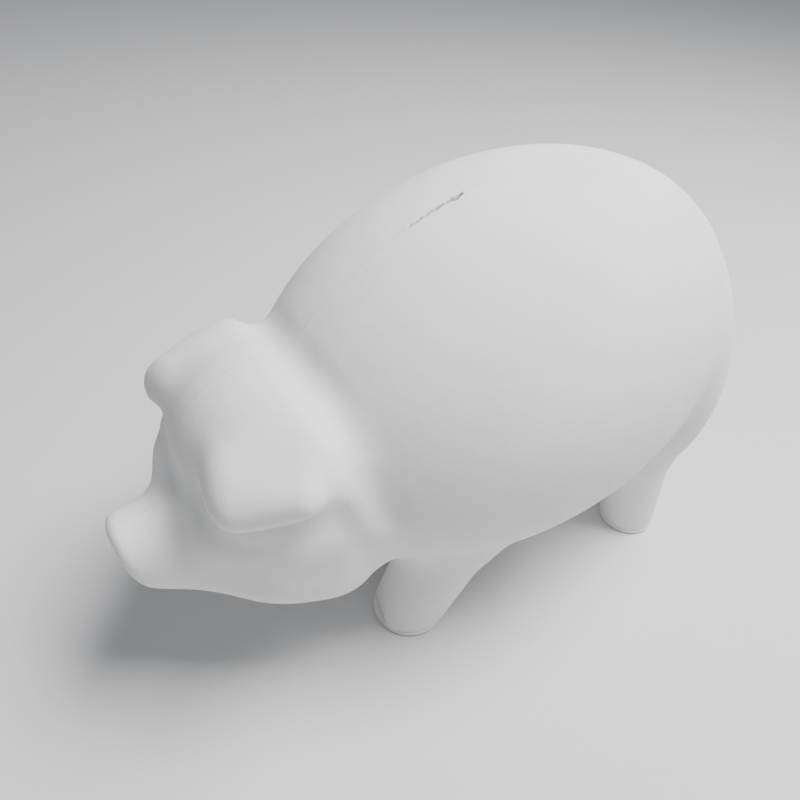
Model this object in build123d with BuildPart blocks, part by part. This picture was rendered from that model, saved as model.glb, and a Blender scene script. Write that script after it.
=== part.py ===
"""Hollow plaster piggy bank: two half castings, an inner joint band, four soles and a belly stopper.

Frame: millimetres, +Z up, snout towards -Y, the pig's left side towards +X.
The origin is under the middle of the body, at the level the soles stand on.
"""
from build123d import *
from math import cos, radians, sin
import os

os.makedirs("parts", exist_ok=True)

# Casting
wall = 8.0                       # thickness of the plaster
band_width, band_depth = 14.0, 3.0   # plaster band brushed over the joint, inside

# Body: an egg that rises towards the tail
body_centre = Vector(0, 38.5, 148)
body_half_length, body_radius = 153.0, 108.5
body_pitch = radians(12.6)

# Head
cranium_centre = Vector(0, -107, 147)
cranium_half_width, cranium_radius = 60.0, 46.0
jowl_centre = Vector(31, -101, 91)
jowl_half_length, jowl_radius, jowl_pitch = 48.0, 32.0, radians(-21)
ear_centre = Vector(49, -125, 164.5)
ear_half_size = (31.0, 26.0, 12.5)           # along the ear, across it, through it
ear_along = Vector(0.10, -0.94, -0.32)       # towards its rounded tip
ear_outward = Vector(0.72, -0.15, 0.68)      # the way its flat side faces

# Snout: a cone from the throat, cut off by a flat disc
throat_centre, throat_radius = Vector(0, -121.5, 89), 40.0
snout_end, snout_end_radius = Vector(0, -196, 105.5), 21.5
disc_centre, disc_pitch = Vector(0, -189, 101), radians(12.6)
nostril_spacing, nostril_radius, nostril_depth = 15.0, 4.5, 3.0

neck_centre, neck_radius = Vector(0, -102, 112), 42.0

# Hams: upright lobes over the rear legs
ham_centre = Vector(43, 130, 125)
ham_half_height, ham_radius = 88.0, 46.0

# Legs: x, y and radius where the leg meets the sole, then the same at its top
sole_height = 4.0
leg_top = 98.0
front_leg = ((46.0, -41.5, 22.4), (51.9, -2.0, 27.2))
rear_leg = ((63.2, 138.8, 18.7), (56.0, 128.0, 23.3))
sole_lip = 0.5                   # how far a sole stands proud of its leg
sole_groove = 0.8
spigot_height = 5.0              # the sole's plug inside the hollow leg

# Coin slot, along the spine
slot_centre_y, slot_length, slot_width = -10.5, 33.0, 4.5

# Belly hole and its stopper
hole_y, hole_radius = 16.0, 17.0
seat_radius, seat_level = 23.2, 40.6
stopper_gap = 0.3                # under the seat
stopper_fit = 0.08               # radial, between the sealing bead and the hole
flange_radius, flange_thickness = 22.4, 2.4
skirt_radius, skirt_wall, skirt_height = 16.6, 3.0, 7.0
tab_length, tab_width, tab_height = 15.0, 3.2, 3.0

# Tail: a curl in low relief on the rump
tail_centre = Vector(0, 188.4, 165)
tail_curl_radius, tail_radius = 10.5, 4.5


def turned_frame(centre, along):
    """Plane whose X axis is the axis of turning, with its profile on the -X (or lower) side."""
    side = Vector(0, 0, -1) if abs(along.X) > 0.9 else Vector(-1, 0, 0)
    return Plane(origin=centre, x_dir=along, z_dir=along.cross(side))


def spheroid_profile(half_length, radius):
    """Half an ellipse, closed along the axis it is turned about."""
    with BuildSketch() as profile:
        with BuildLine():
            EllipticalCenterArc((0, 0), half_length, radius, 0, arc_size=180)
            Line((-half_length, 0), (half_length, 0))
        make_face()
    return profile.sketch


def pitched(angle):
    """Direction in the centre plane, towards the tail and raised by the angle."""
    return Vector(0, cos(angle), sin(angle))


def at_height(leg, height):
    """Centre and radius of a leg at a height: it tapers evenly from top to sole."""
    share = (height - sole_height) / (leg_top - sole_height)
    return [low + (high - low) * share for low, high in zip(*leg)]


def add_leg(leg, low, high, inset=0.0, mode=Mode.ADD):
    """One tapered leg between two heights."""
    rings = []
    for height in (low, high):
        x, y, radius = at_height(leg, height)
        with BuildSketch(Plane((x, y, height))) as ring:
            Circle(radius - inset)
        rings.append(ring.sketch)
    loft(rings, mode=mode)


def left_form(inset):
    """Left half of the pig without its ear, every surface moved in by the inset."""
    lumps = [
        (body_centre, pitched(body_pitch), body_half_length, body_radius),
        (cranium_centre, Vector(1, 0, 0), cranium_half_width, cranium_radius),
        (jowl_centre, pitched(jowl_pitch), jowl_half_length, jowl_radius),
        (throat_centre, pitched(0), throat_radius, throat_radius),
        (neck_centre, pitched(0), neck_radius, neck_radius),
        (ham_centre, Vector(0, 0, 1), ham_half_height, ham_radius),
    ]
    disc = Plane(disc_centre, x_dir=(1, 0, 0), z_dir=(0, -cos(disc_pitch), -sin(disc_pitch)))
    snout_direction = (snout_end - throat_centre).normalized()
    with BuildPart() as form:
        for end, radius in ((throat_centre, throat_radius), (snout_end, snout_end_radius)):
            with BuildSketch(Plane(end, x_dir=(1, 0, 0), z_dir=snout_direction)):
                Circle(radius - inset)
        loft()
        split(bisect_by=disc.offset(-inset), keep=Keep.BOTTOM)
        for centre, along, half_length, radius in lumps:
            frame = turned_frame(centre, along)
            with BuildSketch(frame):
                add(spheroid_profile(half_length - inset, radius - inset))
            revolve(axis=Axis(centre, along))
        for leg in (front_leg, rear_leg):
            add_leg(leg, sole_height, leg_top, inset)
        split(bisect_by=Plane.YZ, keep=Keep.TOP)
    return form.part


def belly_column(radius, low, high):
    """Upright cylinder on the belly hole's axis, cut out of the part being built."""
    with BuildSketch(Plane((0, hole_y, low))) as column:
        Circle(radius)
    extrude(column.sketch, amount=high - low, mode=Mode.SUBTRACT)


def slot_column(margin):
    """Upright coin slot, widened all round by the margin, cut out of the part being built."""
    with BuildSketch(Plane((0, slot_centre_y, body_centre.Z + 40))) as column:
        SlotOverall(slot_length + 2 * margin, slot_width + 2 * margin, rotation=90)
    extrude(column.sketch, amount=120, mode=Mode.SUBTRACT)


cavity = left_form(wall)

ear_frame = Plane(origin=ear_centre, x_dir=ear_along, z_dir=ear_outward)
ear_lobe = ear_frame.location * scale(Sphere(1), by=ear_half_size)

with BuildPart() as left_shell:
    add(left_form(0))
    add(ear_lobe)
    with BuildSketch(Plane(tail_centre, x_dir=(0, 1, 0), z_dir=(1, 0, 0))):
        with Locations((0, tail_curl_radius)):
            Circle(tail_radius)
    revolve(axis=Axis(tail_centre, (0, 1, 0)), revolution_arc=180)
    add(cavity, mode=Mode.SUBTRACT)
    slot_column(0)
    belly_column(hole_radius, 20, 80)
    belly_column(seat_radius, 20, seat_level)
    nostril = disc_centre + Vector(nostril_spacing / 2, 0, 0)
    outward = Vector(0, -cos(disc_pitch), -sin(disc_pitch))
    with Locations(nostril + outward * (nostril_radius - nostril_depth)):
        Sphere(nostril_radius, mode=Mode.SUBTRACT)
left_shell.part.label = "left_shell"
export_step(left_shell.part, "parts/left_shell.step")

with BuildPart() as right_shell:
    add(mirror(left_shell.part, about=Plane.YZ, mode=Mode.PRIVATE))
right_shell.part.label = "right_shell"
export_step(right_shell.part, "parts/right_shell.step")

# The joint band follows the cavity's wall either side of the centre plane, and stops short
# of the coin slot, the belly hole and the snout.
with BuildPart() as joint_band:
    add(cavity)
    add(left_form(wall + band_depth), mode=Mode.SUBTRACT)
    split(bisect_by=Plane.YZ.offset(band_width / 2), keep=Keep.BOTTOM)
    mirror(about=Plane.YZ)
    slot_column(6)
    belly_column(seat_radius + 4, 20, 80)
joint_band.part.label = "joint_band"
export_step(joint_band.part, "parts/joint_band.step")


def sole(leg, side):
    """Sole cap of one leg: a lipped pad with a groove above it and a plug up the hollow leg."""
    x, y, radius = at_height(leg, sole_height)
    with BuildPart() as cap:
        with BuildSketch(Plane((x, y, 0))):
            Circle(radius + sole_lip)
        extrude(amount=sole_height)
        chamfer(cap.edges().group_by(Axis.Z)[-1], sole_groove)
        fillet(cap.edges().group_by(Axis.Z)[0], 1.0)
        add_leg(leg, sole_height, sole_height + spigot_height, wall)
        if side < 0:
            mirror(about=Plane.YZ, mode=Mode.REPLACE)
    return cap.part


for leg, end in ((front_leg, "front"), (rear_leg, "rear")):
    for side, hand in ((1, "left"), (-1, "right")):
        name = f"{end}_{hand}_sole"
        with BuildPart() as cap:
            add(sole(leg, side))
        cap.part.label = name
        export_step(cap.part, f"parts/{name}.step")

with BuildPart() as belly_stopper:
    flange_top = seat_level - stopper_gap
    with BuildSketch(Plane((0, hole_y, flange_top - flange_thickness))):
        Circle(flange_radius)
    extrude(amount=flange_thickness)
    fillet(belly_stopper.edges(), 0.9)
    with BuildSketch(Plane((0, hole_y, flange_top))):
        Circle(skirt_radius)
        Circle(skirt_radius - skirt_wall, mode=Mode.SUBTRACT)
    extrude(amount=skirt_height)
    bead_profile = Plane((0, hole_y, flange_top + 3), x_dir=(1, 0, 0), z_dir=(0, -1, 0))
    with BuildSketch(bead_profile):
        with Locations((hole_radius - stopper_fit - 1, 0)):
            Circle(1)
    revolve(axis=Axis((0, hole_y, 0), (0, 0, 1)))
    with BuildSketch(Plane((0, hole_y, flange_top - flange_thickness))):
        SlotOverall(tab_length, tab_width)
    extrude(amount=-tab_height)
belly_stopper.part.label = "belly_stopper"
export_step(belly_stopper.part, "parts/belly_stopper.step")
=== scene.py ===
"""Looks of the plaster piggy bank: two half castings, their soles, the inner joint band and the
belly stopper, around the CAD frame.

The castings are made as one implicit form, in millimetres in the CAD frame, which is meshed and
cut on the centre plane. Everything is turned into metres when its mesh is written.
"""
from math import cos, radians, sin

import bpy
import numpy as np
from mathutils import Matrix, Vector


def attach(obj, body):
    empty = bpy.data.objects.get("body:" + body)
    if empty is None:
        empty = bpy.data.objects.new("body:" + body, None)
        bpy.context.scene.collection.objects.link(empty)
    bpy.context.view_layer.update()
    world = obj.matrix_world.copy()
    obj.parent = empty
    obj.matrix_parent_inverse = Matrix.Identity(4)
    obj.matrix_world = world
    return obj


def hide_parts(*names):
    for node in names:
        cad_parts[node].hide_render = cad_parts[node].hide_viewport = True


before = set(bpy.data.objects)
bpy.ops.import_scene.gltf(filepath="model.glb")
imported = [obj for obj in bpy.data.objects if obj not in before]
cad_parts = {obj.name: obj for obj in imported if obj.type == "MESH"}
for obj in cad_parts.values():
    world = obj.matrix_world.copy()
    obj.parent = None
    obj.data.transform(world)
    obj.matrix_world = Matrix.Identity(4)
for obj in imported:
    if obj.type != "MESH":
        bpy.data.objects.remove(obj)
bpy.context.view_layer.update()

MM = 0.001

# ---- driving dimensions, in millimetres, in the CAD frame ----

WALL = 8.0
BAND_WIDTH, BAND_DEPTH = 14.0, 3.0
SOLE_HEIGHT = 4.0

BODY_CENTRE, BODY_HALF_LENGTH, BODY_RADIUS = (0, 38.5, 148), 153.0, 108.5
BODY_PITCH = radians(12.6)
HAM_CENTRE, HAM_HALF_SIZE = (38.7, 134.0, 125), (53.0, 38.0, 87.0)

CRANIUM_CENTRE, CRANIUM_HALF_SIZE = (0, -107.5, 147), (57.0, 46.0, 46.0)
CHEEK_CENTRE, CHEEK_HALF_SIZE = (49, -92, 112), (19.0, 15.0, 34.0)
JOWL_CENTRE, JOWL_HALF_SIZE, JOWL_PITCH = (30.5, -102, 91), (34.0, 48.0, 30.5), radians(-21)
JOWL_RIDGE = ((57.4, -89.4, 153), (60.5, -84.5, 144), (63.4, -80, 130), (62.5, -77.5, 114), (56.5, -76, 96))
JOWL_RIDGE_RADIUS = 5.0

# Ear: centre and radius, at the front and at the back, of its root on the crown, of its free fold and
# of the cheek under it
EAR_ROOT = ((39, -134, 164), 12.5), ((41.5, -104.5, 165), 21.0)
EAR_FOLD = ((49.8, -140.5, 157), 9.7), ((64.5, -117, 162.8), 7.0)
UNDER_EAR = ((29, -140, 124), 16.0), ((42, -116, 126), 18.0)
EAR_CREASE = ((30, -154, 153), (47, -150, 145.5), (59, -134, 145), (68, -115, 149.5))
EAR_CREASE_RADIUS = 3.5

NECK_GROOVE = ((0, -96, 199.5), (28, -93.5, 195.8), (42, -91.3, 191.2), (59.8, -89.8, 180.5),
               (69.5, -89.5, 169.2), (74.8, -84, 150), (78.5, -79, 135))
NECK_GROOVE_RADIUS = 6.0

SNOUT = ((0, -121.8, 89), 39.8), ((0, -184.4, 103), 19.7)
DISC_CENTRE, DISC_PITCH = (0, -189.2, 101), radians(12.6)
NOSTRIL_SPACING, NOSTRIL_HALF_SIZE = 15.0, (3.4, 4.0, 5.2)

# Foot and knee of each leg: centre and radius
FRONT_LEG = ((46.3, -39.8, 9), 22.6), ((49.6, -17.6, 62), 25.3)
REAR_LEG = ((62.9, 138.4, 7.5), 18.8), ((58.8, 132.1, 62), 21.5)
LEG_BELOW_FLOOR = 12
KNIFE_FLAT_FACING, KNIFE_FLAT_DEPTH, KNIFE_FLAT_TOP = (-0.24, -0.97), 1.3, 27.0

# Widths of the fillets where one lump runs into the next
JOWL_FILLET, SNOUT_FILLET, DISC_FILLET = 26, 24, 7
CHEEK_FILLET, UNDER_EAR_FILLET, JOWL_RIDGE_FILLET = 18, 20, 14
EAR_FILLET, EAR_SWEEP, EAR_CREASE_FILLET = 18, 18, 5
NECK_FILLET, NECK_GROOVE_FILLET = 14, 9
FRONT_LEG_FILLET, HAM_FILLET, REAR_LEG_FILLET, TAIL_FILLET = 22, 8, 10, 3

SLOT_CENTRE_Y, SLOT_LENGTH, SLOT_WIDTH, SLOT_DEPTH_LEVEL = -10.8, 30.0, 2.1, 190
HOLE_Y, HOLE_RADIUS, HOLE_TOP, SEAT_RADIUS, SEAT_LEVEL = 16.0, 17.0, 75.0, 23.2, 40.6
STOPPER_TOP, FLANGE_RADIUS, FLANGE_THICKNESS = 40.3, 22.4, 2.4
SKIRT_RADIUS, SKIRT_WALL, SKIRT_HEIGHT, BEAD_RADIUS = 16.6, 3.0, 7.0, 16.9
TAB_LENGTH, TAB_WIDTH, TAB_HEIGHT = 15.0, 3.2, 3.0
TAIL_CENTRE, TAIL_CURL_RADIUS, TAIL_RADIUS = (0, 188.4, 165), 10.5, 4.3


# ---- implicit forms: negative inside, about the distance in millimetres ----

def smooth_min(a, b, k):
    """Joins two forms with a fillet about k wide."""
    h = np.clip(0.5 + 0.5 * (b - a) / k, 0, 1)
    return b * (1 - h) + a * h - k * h * (1 - h)


def smooth_max(a, b, k):
    """Keeps what two forms share, with an edge rounded by about k."""
    return -smooth_min(-a, -b, k)


def ellipsoid(p, half_size):
    """Ellipsoid about the origin."""
    x, y, z = (p[i] / half_size[i] for i in range(3))
    reach = np.sqrt(x * x + y * y + z * z)
    slope = np.sqrt(sum((c / r) ** 2 for c, r in zip((x, y, z), half_size))) + 1e-9
    return reach * (reach - 1) / slope


def moved(p, centre):
    """p as seen from the centre."""
    return [p[i] - centre[i] for i in range(3)]


def pitched(p, angle):
    """p turned about X, so that a form built along Y rises towards the tail by the angle."""
    x, y, z = p
    return [x, y * cos(angle) + z * sin(angle), z * cos(angle) - y * sin(angle)]


def round_cone(p, a, b, radius_a, radius_b):
    """Cone with rounded ends, from a to b."""
    a, b = np.array(a, float), np.array(b, float)
    axis = b - a
    length = np.linalg.norm(axis)
    axis /= length
    q = moved(p, a)
    along = sum(q[i] * axis[i] for i in range(3))
    across = np.sqrt(np.maximum(sum(c * c for c in q) - along * along, 0))
    lean = (radius_a - radius_b) / length
    rise = np.sqrt(1 - lean * lean)
    foot = np.clip(along - across * lean / rise, 0, length)
    radius = radius_a + (radius_b - radius_a) * foot / length
    return np.sqrt((along - foot) ** 2 + across * across) - radius


def taper(p, ends):
    """Round cone between two (centre, radius) ends."""
    (a, radius_a), (b, radius_b) = ends
    return round_cone(p, a, b, radius_a, radius_b)


def rod(p, path, radius):
    """Round rod along a path of points."""
    return np.minimum.reduce([round_cone(p, a, b, radius, radius) for a, b in zip(path, path[1:])])


def ear(p):
    """Drooping ear: it sweeps down from its root on the crown to a thick fold along its free edge."""
    return smooth_min(taper(p, EAR_ROOT), taper(p, EAR_FOLD), EAR_SWEEP)


def leg(p, ends):
    """Tapered leg, carried on below the floor so that its rounded end is cut away."""
    (foot, foot_radius), (knee, knee_radius) = ends
    foot, knee = Vector(foot), Vector(knee)
    slope = (knee - foot) / (knee.z - foot.z)
    grow = (knee_radius - foot_radius) / (knee.z - foot.z)
    drop = foot.z + LEG_BELOW_FLOOR
    return round_cone(p, foot - slope * drop, knee, foot_radius - grow * drop, knee_radius)


def disc_plane(p):
    """Distance in front of the snout's flat disc."""
    q = moved(p, DISC_CENTRE)
    return -q[1] * cos(DISC_PITCH) - q[2] * sin(DISC_PITCH)


def tail(p):
    """Curl in low relief on the rump: a ring that fades out before it closes."""
    x, y, z = moved(p, TAIL_CENTRE)
    angle = np.arctan2(z, x)
    turn = (angle + np.pi / 2) % (2 * np.pi) / (2 * np.pi)
    ring = TAIL_CURL_RADIUS * (1.0 - 0.35 * turn)
    tube = TAIL_RADIUS * (0.95 - 0.45 * turn)
    return np.sqrt((np.hypot(x, z) - ring) ** 2 + y * y) - tube


def lumps(p, with_ears):
    """The pig without its openings and tail; without ears it is the form that the hollow follows."""
    mirrored = [np.abs(p[0]), p[1], p[2]]
    body = ellipsoid(pitched(moved(p, BODY_CENTRE), BODY_PITCH),
                     (BODY_RADIUS, BODY_HALF_LENGTH, BODY_RADIUS))
    head = ellipsoid(moved(p, CRANIUM_CENTRE), CRANIUM_HALF_SIZE)
    jowl = ellipsoid(pitched(moved(mirrored, JOWL_CENTRE), JOWL_PITCH), JOWL_HALF_SIZE)
    snout = smooth_max(taper(p, SNOUT), disc_plane(p), DISC_FILLET)
    cheek = ellipsoid(moved(mirrored, CHEEK_CENTRE), CHEEK_HALF_SIZE)
    head = smooth_min(head, jowl, JOWL_FILLET)
    head = smooth_min(head, snout, SNOUT_FILLET)
    head = smooth_min(head, cheek, CHEEK_FILLET)
    head = smooth_min(head, taper(mirrored, UNDER_EAR), UNDER_EAR_FILLET)
    if with_ears:
        head = smooth_min(head, ear(mirrored), EAR_FILLET)
        head = smooth_max(head, -rod(mirrored, EAR_CREASE, EAR_CREASE_RADIUS), EAR_CREASE_FILLET)
        head = smooth_min(head, rod(mirrored, JOWL_RIDGE, JOWL_RIDGE_RADIUS), JOWL_RIDGE_FILLET)
    form = smooth_min(head, body, NECK_FILLET)
    form = smooth_max(form, -rod(mirrored, NECK_GROOVE, NECK_GROOVE_RADIUS), NECK_GROOVE_FILLET)
    form = smooth_min(form, leg(mirrored, FRONT_LEG), FRONT_LEG_FILLET)
    ham = ellipsoid(moved(mirrored, HAM_CENTRE), HAM_HALF_SIZE)
    form = smooth_min(form, ham, HAM_FILLET)
    return smooth_min(form, leg(mirrored, REAR_LEG), REAR_LEG_FILLET)


def hand_finish(p):
    """Unevenness of a casting rubbed down by hand, less the height of the mould's seam."""
    x, y, z = p
    waves = np.sin(x / 17 + 1.3 * np.sin(y / 29)) * np.sin(y / 23 + 0.7) + np.sin(z / 19 + x / 31)
    return 0.16 * waves - mould_seam(p)


def mould_seam(p):
    """Height of the faint ridge where the halves of the mould met, rubbed down unevenly."""
    x, y, z = p
    return 0.22 * np.exp(-(x / 1.8) ** 2) * (0.6 + 0.4 * np.sin(y / 13 + 2 * np.sin(z / 31)))


def shaved_flat(p):
    """Flat left by a knife low down on the front of the left front leg."""
    (x, y, _), radius = FRONT_LEG[0]
    ahead = KNIFE_FLAT_FACING[0] * (p[0] - x) + KNIFE_FLAT_FACING[1] * (p[1] - y)
    cut = np.minimum(ahead - radius + KNIFE_FLAT_DEPTH, KNIFE_FLAT_TOP - p[2])
    far_inside = -50
    return np.where(p[0] > 0, cut, far_inside)


def slot_walls(p):
    """Ragged coin slit, cut by hand through the soft plaster, and torn wider in two spots."""
    x, y, z = p
    y = y - SLOT_CENTRE_Y
    ragged = 0.22 * np.sin(y * 1.1 + 1.5 * np.sign(x)) + 0.16 * np.sin(y * 2.3 - z / 3 + np.sign(x))
    torn = np.where(x > 0, 1.5, 0.2) * np.exp(-((y - 10) / 1.9) ** 2)
    torn = torn + 0.4 * np.exp(-((y - 1.2) / 1.5) ** 2)
    half_width = SLOT_WIDTH / 2 * (0.85 + 0.01 * y) + ragged + torn
    ends = np.abs(y) - SLOT_LENGTH / 2 + 0.5 * np.sin(z / 2)
    return np.maximum(np.maximum(np.abs(x) - half_width, ends), SLOT_DEPTH_LEVEL - z)


def belly_hole(p):
    """Round hole through the belly, with the flat seat of the stopper's flange."""
    across = np.hypot(p[0], p[1] - HOLE_Y)
    hole = np.maximum(across - HOLE_RADIUS, p[2] - HOLE_TOP)
    seat = np.maximum(across - SEAT_RADIUS, p[2] - SEAT_LEVEL)
    return np.minimum(hole, seat)


def nostrils(p):
    """Two shallow pits in the snout's disc."""
    x, y, z = np.abs(p[0]), p[1], p[2]
    q = pitched(moved([x, y, z], DISC_CENTRE), DISC_PITCH)
    return ellipsoid([q[0] - NOSTRIL_SPACING / 2, q[1] + 0.5, q[2]], NOSTRIL_HALF_SIZE)


def casting(p):
    """The whole hollow casting, open at the slot, the belly hole and under the legs."""
    outer = lumps(p, True)
    outer = smooth_min(outer, tail(p), TAIL_FILLET) + hand_finish(p)
    inner = lumps(p, False) + WALL
    form = smooth_max(outer, -inner, 1.5)
    form = smooth_max(form, -nostrils(p), 2)
    form = smooth_max(form, shaved_flat(p), 1.5)
    form = smooth_max(form, -slot_walls(p), 1.0)
    form = smooth_max(form, -belly_hole(p), 1.2)
    return smooth_max(form, SOLE_HEIGHT - p[2], 1.2)


def band(p):
    """Plaster band brushed over the joint inside the casting."""
    inner = lumps(p, False) + WALL
    x, y, z = p
    uneven = 0.5 * np.sin(y / 5 + z / 7) + 0.35 * np.sin(y / 2.3 - z / 3.1)
    form = smooth_max(inner - 0.6, -(inner + BAND_DEPTH + uneven), 1.5)
    form = smooth_max(form, np.abs(x) - BAND_WIDTH / 2 - uneven, 2)
    slot_gap = np.maximum(np.abs(y - SLOT_CENTRE_Y) - SLOT_LENGTH / 2 - 6, SLOT_DEPTH_LEVEL - z)
    hole_gap = np.maximum(np.hypot(x, y - HOLE_Y) - SEAT_RADIUS - 4, z - HOLE_TOP - 5)
    return smooth_max(form, -np.minimum(slot_gap, hole_gap), 2)


# ---- meshing ----

def spaced(stops):
    """Sample positions along one axis: (start, step) pairs, ending with (end, None)."""
    runs = []
    for (start, step), (end, _) in zip(stops, stops[1:]):
        count = max(1, round((end - start) / step))
        runs.append(start + (end - start) * np.arange(count) / count)
    return np.concatenate(runs + [[stops[-1][0]]])


def surface_net(field, axes):
    """Quad mesh of the field's zero surface: one vertex in each crossed cell, four cells to a face."""
    xs, ys, zs = axes
    shape = tuple(len(a) for a in axes)
    values = np.empty(shape, np.float32)
    for i in range(0, shape[0], 8):
        block = np.meshgrid(xs[i:i + 8], ys, zs, indexing="ij")
        values[i:i + 8] = field(block)
    inside = values < 0
    total = np.zeros([n - 1 for n in shape] + [3])
    count = np.zeros([n - 1 for n in shape], np.int16)
    for axis in range(3):
        low = [slice(None)] * 3
        high = [slice(None)] * 3
        low[axis], high[axis] = slice(0, -1), slice(1, None)
        va, vb = values[tuple(low)], values[tuple(high)]
        cut = np.argwhere(inside[tuple(low)] != inside[tuple(high)])
        ca, cb = (v[tuple(cut.T)] for v in (va, vb))
        share = ca / (ca - cb)
        places = [axes[k][cut[:, k]].astype(float) for k in range(3)]
        step = axes[axis][cut[:, axis] + 1] - axes[axis][cut[:, axis]]
        places[axis] = places[axis] + share * step
        point = np.stack(places, 1)
        others = [k for k in range(3) if k != axis]
        for da in (0, -1):
            for db in (0, -1):
                cell = cut.copy()
                cell[:, others[0]] += da
                cell[:, others[1]] += db
                good = np.all((cell >= 0) & (cell < np.array(count.shape)), axis=1)
                np.add.at(total, tuple(cell[good].T), point[good])
                np.add.at(count, tuple(cell[good].T), 1)
    index = np.full(count.shape, -1, np.int64)
    used = np.argwhere(count > 0)
    index[tuple(used.T)] = np.arange(len(used))
    vertices = total[tuple(used.T)] / count[tuple(used.T)][:, None]
    faces = []
    for axis in range(3):
        low = [slice(None)] * 3
        high = [slice(None)] * 3
        low[axis], high[axis] = slice(0, -1), slice(1, None)
        first = inside[tuple(low)]
        cut = np.argwhere(first != inside[tuple(high)])
        u, v = (axis + 1) % 3, (axis + 2) % 3
        corners = []
        for du, dv in ((0, 0), (-1, 0), (-1, -1), (0, -1)):
            cell = cut.copy()
            cell[:, u] += du
            cell[:, v] += dv
            good = np.all((cell >= 0) & (cell < np.array(count.shape)), axis=1)
            corner = np.full(len(cut), -1, np.int64)
            corner[good] = index[tuple(cell[good].T)]
            corners.append(corner)
        quad = np.stack(corners, 1)
        outward = first[tuple(cut.T)]
        quad[~outward] = quad[~outward][:, ::-1]
        faces.append(quad[np.all(quad >= 0, axis=1)])
    return vertices, np.concatenate(faces)


def settled(field, vertices, on_plane, rounds=5):
    """Vertices moved onto the field's zero surface; those on the centre plane stay on it."""
    h = 0.2
    v = vertices.copy()
    for _ in range(rounds):
        value = field(list(v.T))
        slope = np.empty_like(v)
        for axis in range(3):
            ahead, behind = v.copy(), v.copy()
            ahead[:, axis] += h
            behind[:, axis] -= h
            slope[:, axis] = (field(list(ahead.T)) - field(list(behind.T))) / (2 * h)
        slope[on_plane, 0] = 0
        step = value / np.maximum((slope ** 2).sum(1), 0.25)
        v -= np.clip(step, -1.5, 1.5)[:, None] * slope
    return v


def add_mesh(name, vertices, faces):
    """A smooth-shaded object in the scene, from vertices in millimetres."""
    mesh = bpy.data.meshes.new(name)
    mesh.from_pydata((vertices * MM).tolist(), [], faces)
    mesh.validate()
    mesh.update()
    mesh.shade_smooth()
    obj = bpy.data.objects.new(name, mesh)
    bpy.context.scene.collection.objects.link(obj)
    return obj


def boundary_loops(faces):
    """Closed rings of edges that only one face uses, as lists of vertices in order."""
    edges = np.concatenate([faces[:, [i, (i + 1) % 4]] for i in range(4)])
    keys = {(int(a), int(b)) for a, b in edges}
    follow = {}
    for a, b in keys:
        if (b, a) not in keys:
            follow.setdefault(b, []).append(a)
    loops = []
    while follow:
        start = next(iter(follow))
        ring = [start]
        here = start
        while True:
            ahead = follow[here].pop()
            if not follow[here]:
                del follow[here]
            if ahead == start:
                break
            ring.append(ahead)
            here = ahead
        loops.append(ring)
    return loops


def half_casting(name, side):
    """One half of the casting, meshed on its own side of the centre plane and closed on it."""
    first = 0.25
    right = spaced([(first, 0.35), (2.7, 0.7), (5.5, 1.1), (26, 2.2), (112, None)])
    xs = np.concatenate([[-first], right])
    ys = spaced([(-198, 2.2), (-30, 1.1), (41, 2.2), (198, None)])
    zs = spaced([(2, 1.1), (12, 2.2), (36, 1.1), (56, 2.2), (228, 1.1), (263, None)])

    def field(p):
        return casting([p[0] * side, p[1], p[2]])

    vertices, faces = surface_net(field, (xs, ys, zs))
    on_plane = vertices[:, 0] < first
    vertices[on_plane, 0] = 0
    vertices = settled(field, vertices, on_plane)
    vertices[on_plane, 0] = 0
    loops = boundary_loops(faces)
    vertices[:, 0] *= side
    faces = [list(map(int, f)) for f in faces] + loops
    if side < 0:
        faces = [f[::-1] for f in faces]
    return add_mesh(name, vertices, faces)


def joint_strip(name):
    """Band over the joint, inside: two lengths, broken at the coin slot and at the belly hole."""
    xs = spaced([(-9.5, 1.9), (9.5, None)])
    ys = spaced([(-176, 2.4), (190, None)])
    zs = spaced([(36, 2.4), (256, None)])
    vertices, faces = surface_net(band, (xs, ys, zs))
    vertices = settled(band, vertices, np.zeros(len(vertices), bool), 3)
    return add_mesh(name, vertices, [list(map(int, f)) for f in faces])


def stacked(outlines):
    """Closed skin over a stack of outlines, each an (n, 3) ring, with a point at either end."""
    count = len(outlines[0])
    vertices = [outlines[0].mean(0)] + [v for ring in outlines for v in ring] + [outlines[-1].mean(0)]
    faces = []
    for i in range(count):
        j = (i + 1) % count
        faces.append([0, 1 + j, 1 + i])
        for k in range(len(outlines) - 1):
            low, high = 1 + k * count, 1 + (k + 1) * count
            faces.append([low + i, low + j, high + j, high + i])
        top = 1 + (len(outlines) - 1) * count
        faces.append([top + i, top + j, len(vertices) - 1])
    return np.array(vertices), faces


def circle(centre, radius, height, uneven=0.0, count=72):
    """Ring of points, out of round by up to about the given share."""
    turn = np.linspace(0, 2 * np.pi, count, endpoint=False)
    wave = 1 + uneven * (np.sin(3 * turn + centre[0]) + 0.6 * np.sin(7 * turn + height))
    return np.stack([centre[0] + radius * wave * np.cos(turn),
                     centre[1] + radius * wave * np.sin(turn), np.full(count, float(height))], 1)


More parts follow.
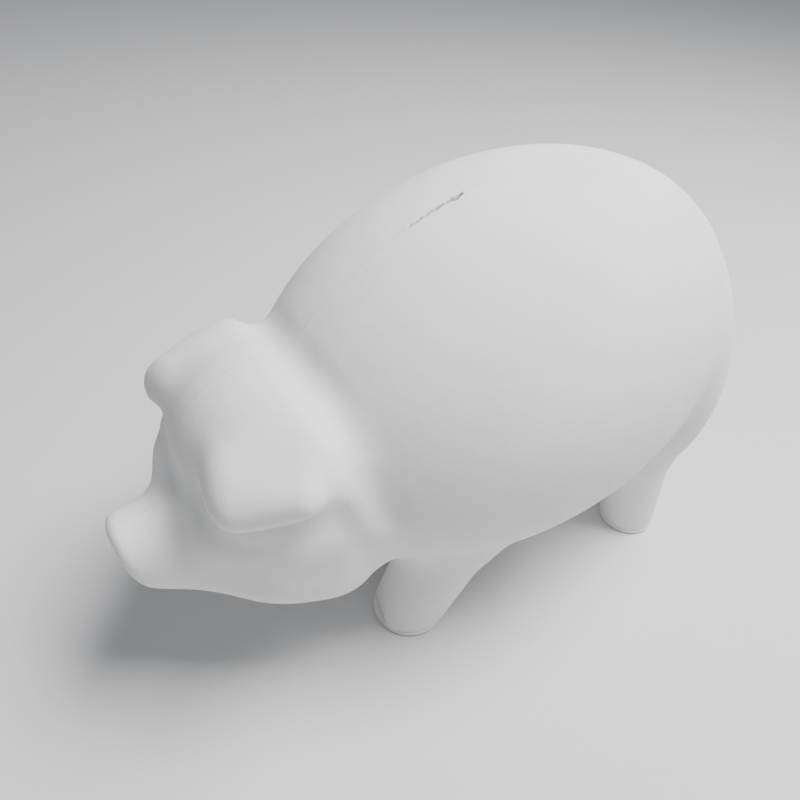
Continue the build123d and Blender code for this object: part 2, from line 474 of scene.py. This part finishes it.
def sole(name, ends, side):
    """Sole cap: worn lower edge, a lip, a groove where it meets the leg, and a plug up the leg."""
    (foot, low), (knee, high) = ends
    share = (SOLE_HEIGHT - foot[2]) / (knee[2] - foot[2])
    x, y = (foot[i] + (knee[i] - foot[i]) * share for i in range(2))
    radius = low + (high - low) * share
    centre = (x * side, y)
    profile = [(radius - 2.2, 0), (radius - 0.9, 0.25), (radius + 0.05, 1.1), (radius + 0.4, 2.2),
               (radius + 0.2, 3.1), (radius - 0.8, 3.95), (radius - 3.5, SOLE_HEIGHT),
               (radius - WALL - 0.6, SOLE_HEIGHT), (radius - WALL - 0.9, 8.2), (radius - WALL - 1.8, 8.9)]
    return add_mesh(name, *stacked([circle(centre, r, h, 0.004) for r, h in profile]))


def stadium(length, width, inset, height):
    """Ring of points round a slot shape on the stopper's axis."""
    turn = np.linspace(0, 2 * np.pi, 48, endpoint=False)
    radius = width / 2 - inset
    shift = np.where(np.cos(turn) >= 0, 1, -1) * (length - width) / 2
    return np.stack([shift + radius * np.cos(turn), HOLE_Y + radius * np.sin(turn),
                     np.full(48, float(height))], 1)


def stopper(name):
    """Soft plug: a flange, a hollow skirt with a sealing bead, and a tab to pull it by."""
    low = STOPPER_TOP - FLANGE_THICKNESS
    r, s = FLANGE_RADIUS, SKIRT_RADIUS
    bead, inner, top = STOPPER_TOP + 3, SKIRT_RADIUS - SKIRT_WALL, STOPPER_TOP + SKIRT_HEIGHT
    profile = [(9, low + 0.5), (r - 5, low), (r - 0.9, low), (r - 0.25, low + 0.3), (r, low + 0.9),
               (r, low + 1.5), (r - 0.25, low + 2.1), (r - 0.9, STOPPER_TOP), (s + 0.2, STOPPER_TOP),
               (s, STOPPER_TOP + 0.3), (s, bead - 0.8), (BEAD_RADIUS, bead), (s, bead + 0.8),
               (s, top - 0.6), (s - 0.5, top), (inner + 0.4, top), (inner, top - 0.5),
               (inner, STOPPER_TOP + 0.8), (inner - 0.8, STOPPER_TOP), (4, STOPPER_TOP)]
    vertices, faces = stacked([circle((0, HOLE_Y), radius, h) for radius, h in profile])
    foot = low - TAB_HEIGHT
    tab = [stadium(TAB_LENGTH, TAB_WIDTH, inset, foot + h)
           for inset, h in ((0.9, 0), (0.5, 0.07), (0.12, 0.4), (0, 1.0), (0, 2.6), (-0.5, 3.4), (-0.6, 4.0))]
    more, sides = stacked(tab)
    offset = len(vertices)
    faces += [[v + offset for v in face] for face in sides]
    return add_mesh(name, np.concatenate([vertices, more]), faces)


# ---- materials ----

def new_material(name):
    """An empty material and its shader."""
    material = bpy.data.materials.new(name)
    material.use_nodes = True
    return material, material.node_tree.nodes["Principled BSDF"]


def plaster_material(name, colour, shade, grain=1.0):
    """Set plaster: matte, faintly mottled, with a coarse unevenness and a fine powdery grain."""
    material, shader = new_material(name)
    nodes, links = material.node_tree.nodes, material.node_tree.links
    shader.inputs["Roughness"].default_value = 0.92
    shader.inputs["Specular IOR Level"].default_value = 0.25
    place = nodes.new("ShaderNodeTexCoord")

    def noise(scale, detail):
        node = nodes.new("ShaderNodeTexNoise")
        node.inputs["Scale"].default_value = scale
        node.inputs["Detail"].default_value = detail
        node.inputs["Roughness"].default_value = 0.6
        links.new(place.outputs["Object"], node.inputs["Vector"])
        return node.outputs["Fac"]

    def bump(height, strength, depth):
        node = nodes.new("ShaderNodeBump")
        node.inputs["Strength"].default_value = strength
        node.inputs["Distance"].default_value = depth
        links.new(height, node.inputs["Height"])
        return node

    ramp = nodes.new("ShaderNodeValToRGB")
    for stop, place_on_ramp, tint in zip(ramp.color_ramp.elements, (0.30, 0.62), (shade, colour)):
        stop.position, stop.color = place_on_ramp, (*tint, 1)
    links.new(noise(14, 6), ramp.inputs["Fac"])
    links.new(ramp.outputs["Color"], shader.inputs["Base Color"])

    coarse = bump(noise(90, 5), 0.22 * grain, 0.0012)
    fine = bump(noise(900, 3), 0.30 * grain, 0.0003)
    links.new(coarse.outputs["Normal"], fine.inputs["Normal"])
    links.new(fine.outputs["Normal"], shader.inputs["Normal"])
    return material


def vinyl_material(name):
    """Soft white vinyl: satin and slightly translucent."""
    material, shader = new_material(name)
    shader.inputs["Base Color"].default_value = (0.86, 0.84, 0.78, 1)
    shader.inputs["Roughness"].default_value = 0.42
    shader.inputs["Subsurface Weight"].default_value = 0.15
    shader.inputs["Subsurface Radius"].default_value = (0.002, 0.002, 0.0015)
    return material


def grey_material(name, value):
    """Plain matte grey for the floor."""
    material, shader = new_material(name)
    shader.inputs["Base Color"].default_value = (value, value, value, 1)
    shader.inputs["Roughness"].default_value = 0.8
    return material


PLASTER = plaster_material("raw_plaster", (0.86, 0.855, 0.84), (0.79, 0.785, 0.77))
BAND_PLASTER = plaster_material("brushed_plaster", (0.80, 0.79, 0.76), (0.66, 0.65, 0.62), 2.0)
VINYL = vinyl_material("white_vinyl")


# ---- pieces ----

for label, side in (("left", 1), ("right", -1)):
    shell = half_casting(f"{label}_casting", side)
    shell.data.materials.append(PLASTER)
    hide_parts(f"{label}_shell")
    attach(shell, "casting")

for label, ends in (("front", FRONT_LEG), ("rear", REAR_LEG)):
    for hand, side in (("left", 1), ("right", -1)):
        cap = sole(f"{label}_{hand}_cap", ends, side)
        cap.data.materials.append(PLASTER)
        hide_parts(f"{label}_{hand}_sole")
        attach(cap, "casting")

strip = joint_strip("joint_strip")
strip.data.materials.append(BAND_PLASTER)
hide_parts("joint_band")
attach(strip, "casting")

plug = stopper("belly_plug")
plug.data.materials.append(VINYL)
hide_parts("belly_stopper")
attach(plug, "stopper")

# ---- floor, light and camera ----

half = 3.0
floor_mesh = bpy.data.meshes.new("floor")
floor_mesh.from_pydata([(-half, -half, 0), (half, -half, 0), (half, half, 0), (-half, half, 0)], [],
                       [(0, 1, 2, 3)])
floor = bpy.data.objects.new("floor", floor_mesh)
floor.data.materials.append(grey_material("pale_floor", 0.72))
bpy.context.scene.collection.objects.link(floor)


def area_light(name, place, aim, size, power):
    light = bpy.data.lights.new(name, "AREA")
    light.size, light.energy = size, power
    obj = bpy.data.objects.new(name, light)
    obj.location = place
    obj.rotation_euler = (Vector(aim) - Vector(place)).to_track_quat("-Z", "Y").to_euler()
    bpy.context.scene.collection.objects.link(obj)


area_light("ceiling", (0.30, 0.55, 1.55), (0, 0, 0.1), 0.8, 52)
area_light("side_fill", (1.4, 0.3, 0.6), (0, 0.02, 0.12), 0.9, 1.2)

world = bpy.data.worlds.new("studio")
world.use_nodes = True
world.node_tree.nodes["Background"].inputs["Color"].default_value = (0.9, 0.93, 1.0, 1)
world.node_tree.nodes["Background"].inputs["Strength"].default_value = 0.30
bpy.context.scene.world = world

camera_data = bpy.data.cameras.new("camera")
camera_data.lens, camera_data.sensor_width = 30.0, 36.0
camera = bpy.data.objects.new("camera", camera_data)
bpy.context.scene.collection.objects.link(camera)
camera_place, camera_aim = Vector((0.2438, -0.1884, 0.380)), Vector((-0.0236, -0.0100, 0.1097))
camera_roll = radians(2.77)
look = (camera_aim - camera_place).to_track_quat("-Z", "Y").to_matrix()
tilted = (look @ Matrix.Rotation(camera_roll, 3, "Z")).to_4x4()
camera.matrix_world = Matrix.Translation(camera_place) @ tilted
bpy.context.scene.camera = camera
